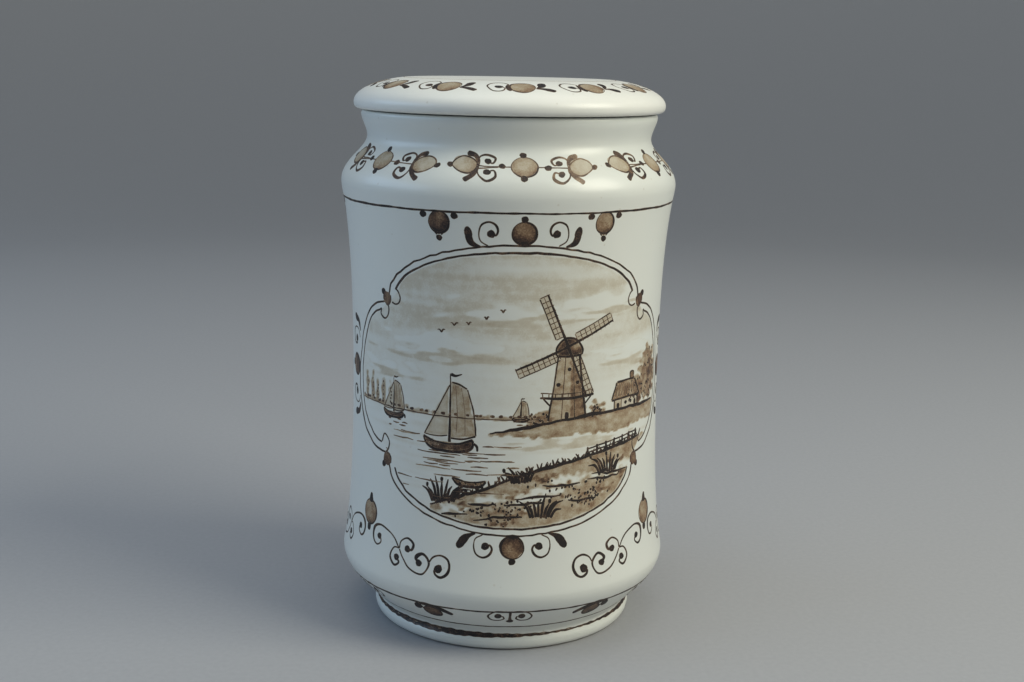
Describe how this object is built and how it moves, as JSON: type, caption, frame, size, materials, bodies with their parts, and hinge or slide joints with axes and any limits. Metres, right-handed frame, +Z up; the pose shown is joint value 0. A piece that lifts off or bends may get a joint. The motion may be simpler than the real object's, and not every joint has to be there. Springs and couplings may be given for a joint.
{
  "type": "lidded storage jar",
  "caption": "Glazed pottery storage jar with a waisted body on a foot ring and a flat overhanging lid that lifts off and turns.",
  "frame": {"origin": "on the jar's axis at the plane it stands on", "axes": "+Z up along the jar's axis; the painted front faces -Y; +X is to the right seen from the front"},
  "size_m": [0.1206, 0.1206, 0.198],
  "materials": {
    "jar_glaze": "satin to gloss white glaze over pale earthenware, painted in sepia",
    "lid_glaze": "gloss white glaze over pale earthenware, painted in sepia",
    "seal_elastomer": "pale matt elastomer"
  },
  "bodies": {
    "jar": {"jar_body": "jar_glaze"},
    "seal": {"lid_seal": "seal_elastomer"},
    "lid_cover": {"lid": "lid_glaze"}
  },
  "joints": [
    {"name": "lid_lift", "type": "slide", "parent": "jar", "child": "seal", "axis": [0, 0, 1], "range_m": [0, 0.06]},
    {"name": "lid_turn", "type": "hinge", "parent": "seal", "child": "lid_cover", "pos_m": [0, 0, 0.1867], "axis": [0, 0, 1], "continuous": true}
  ]
}
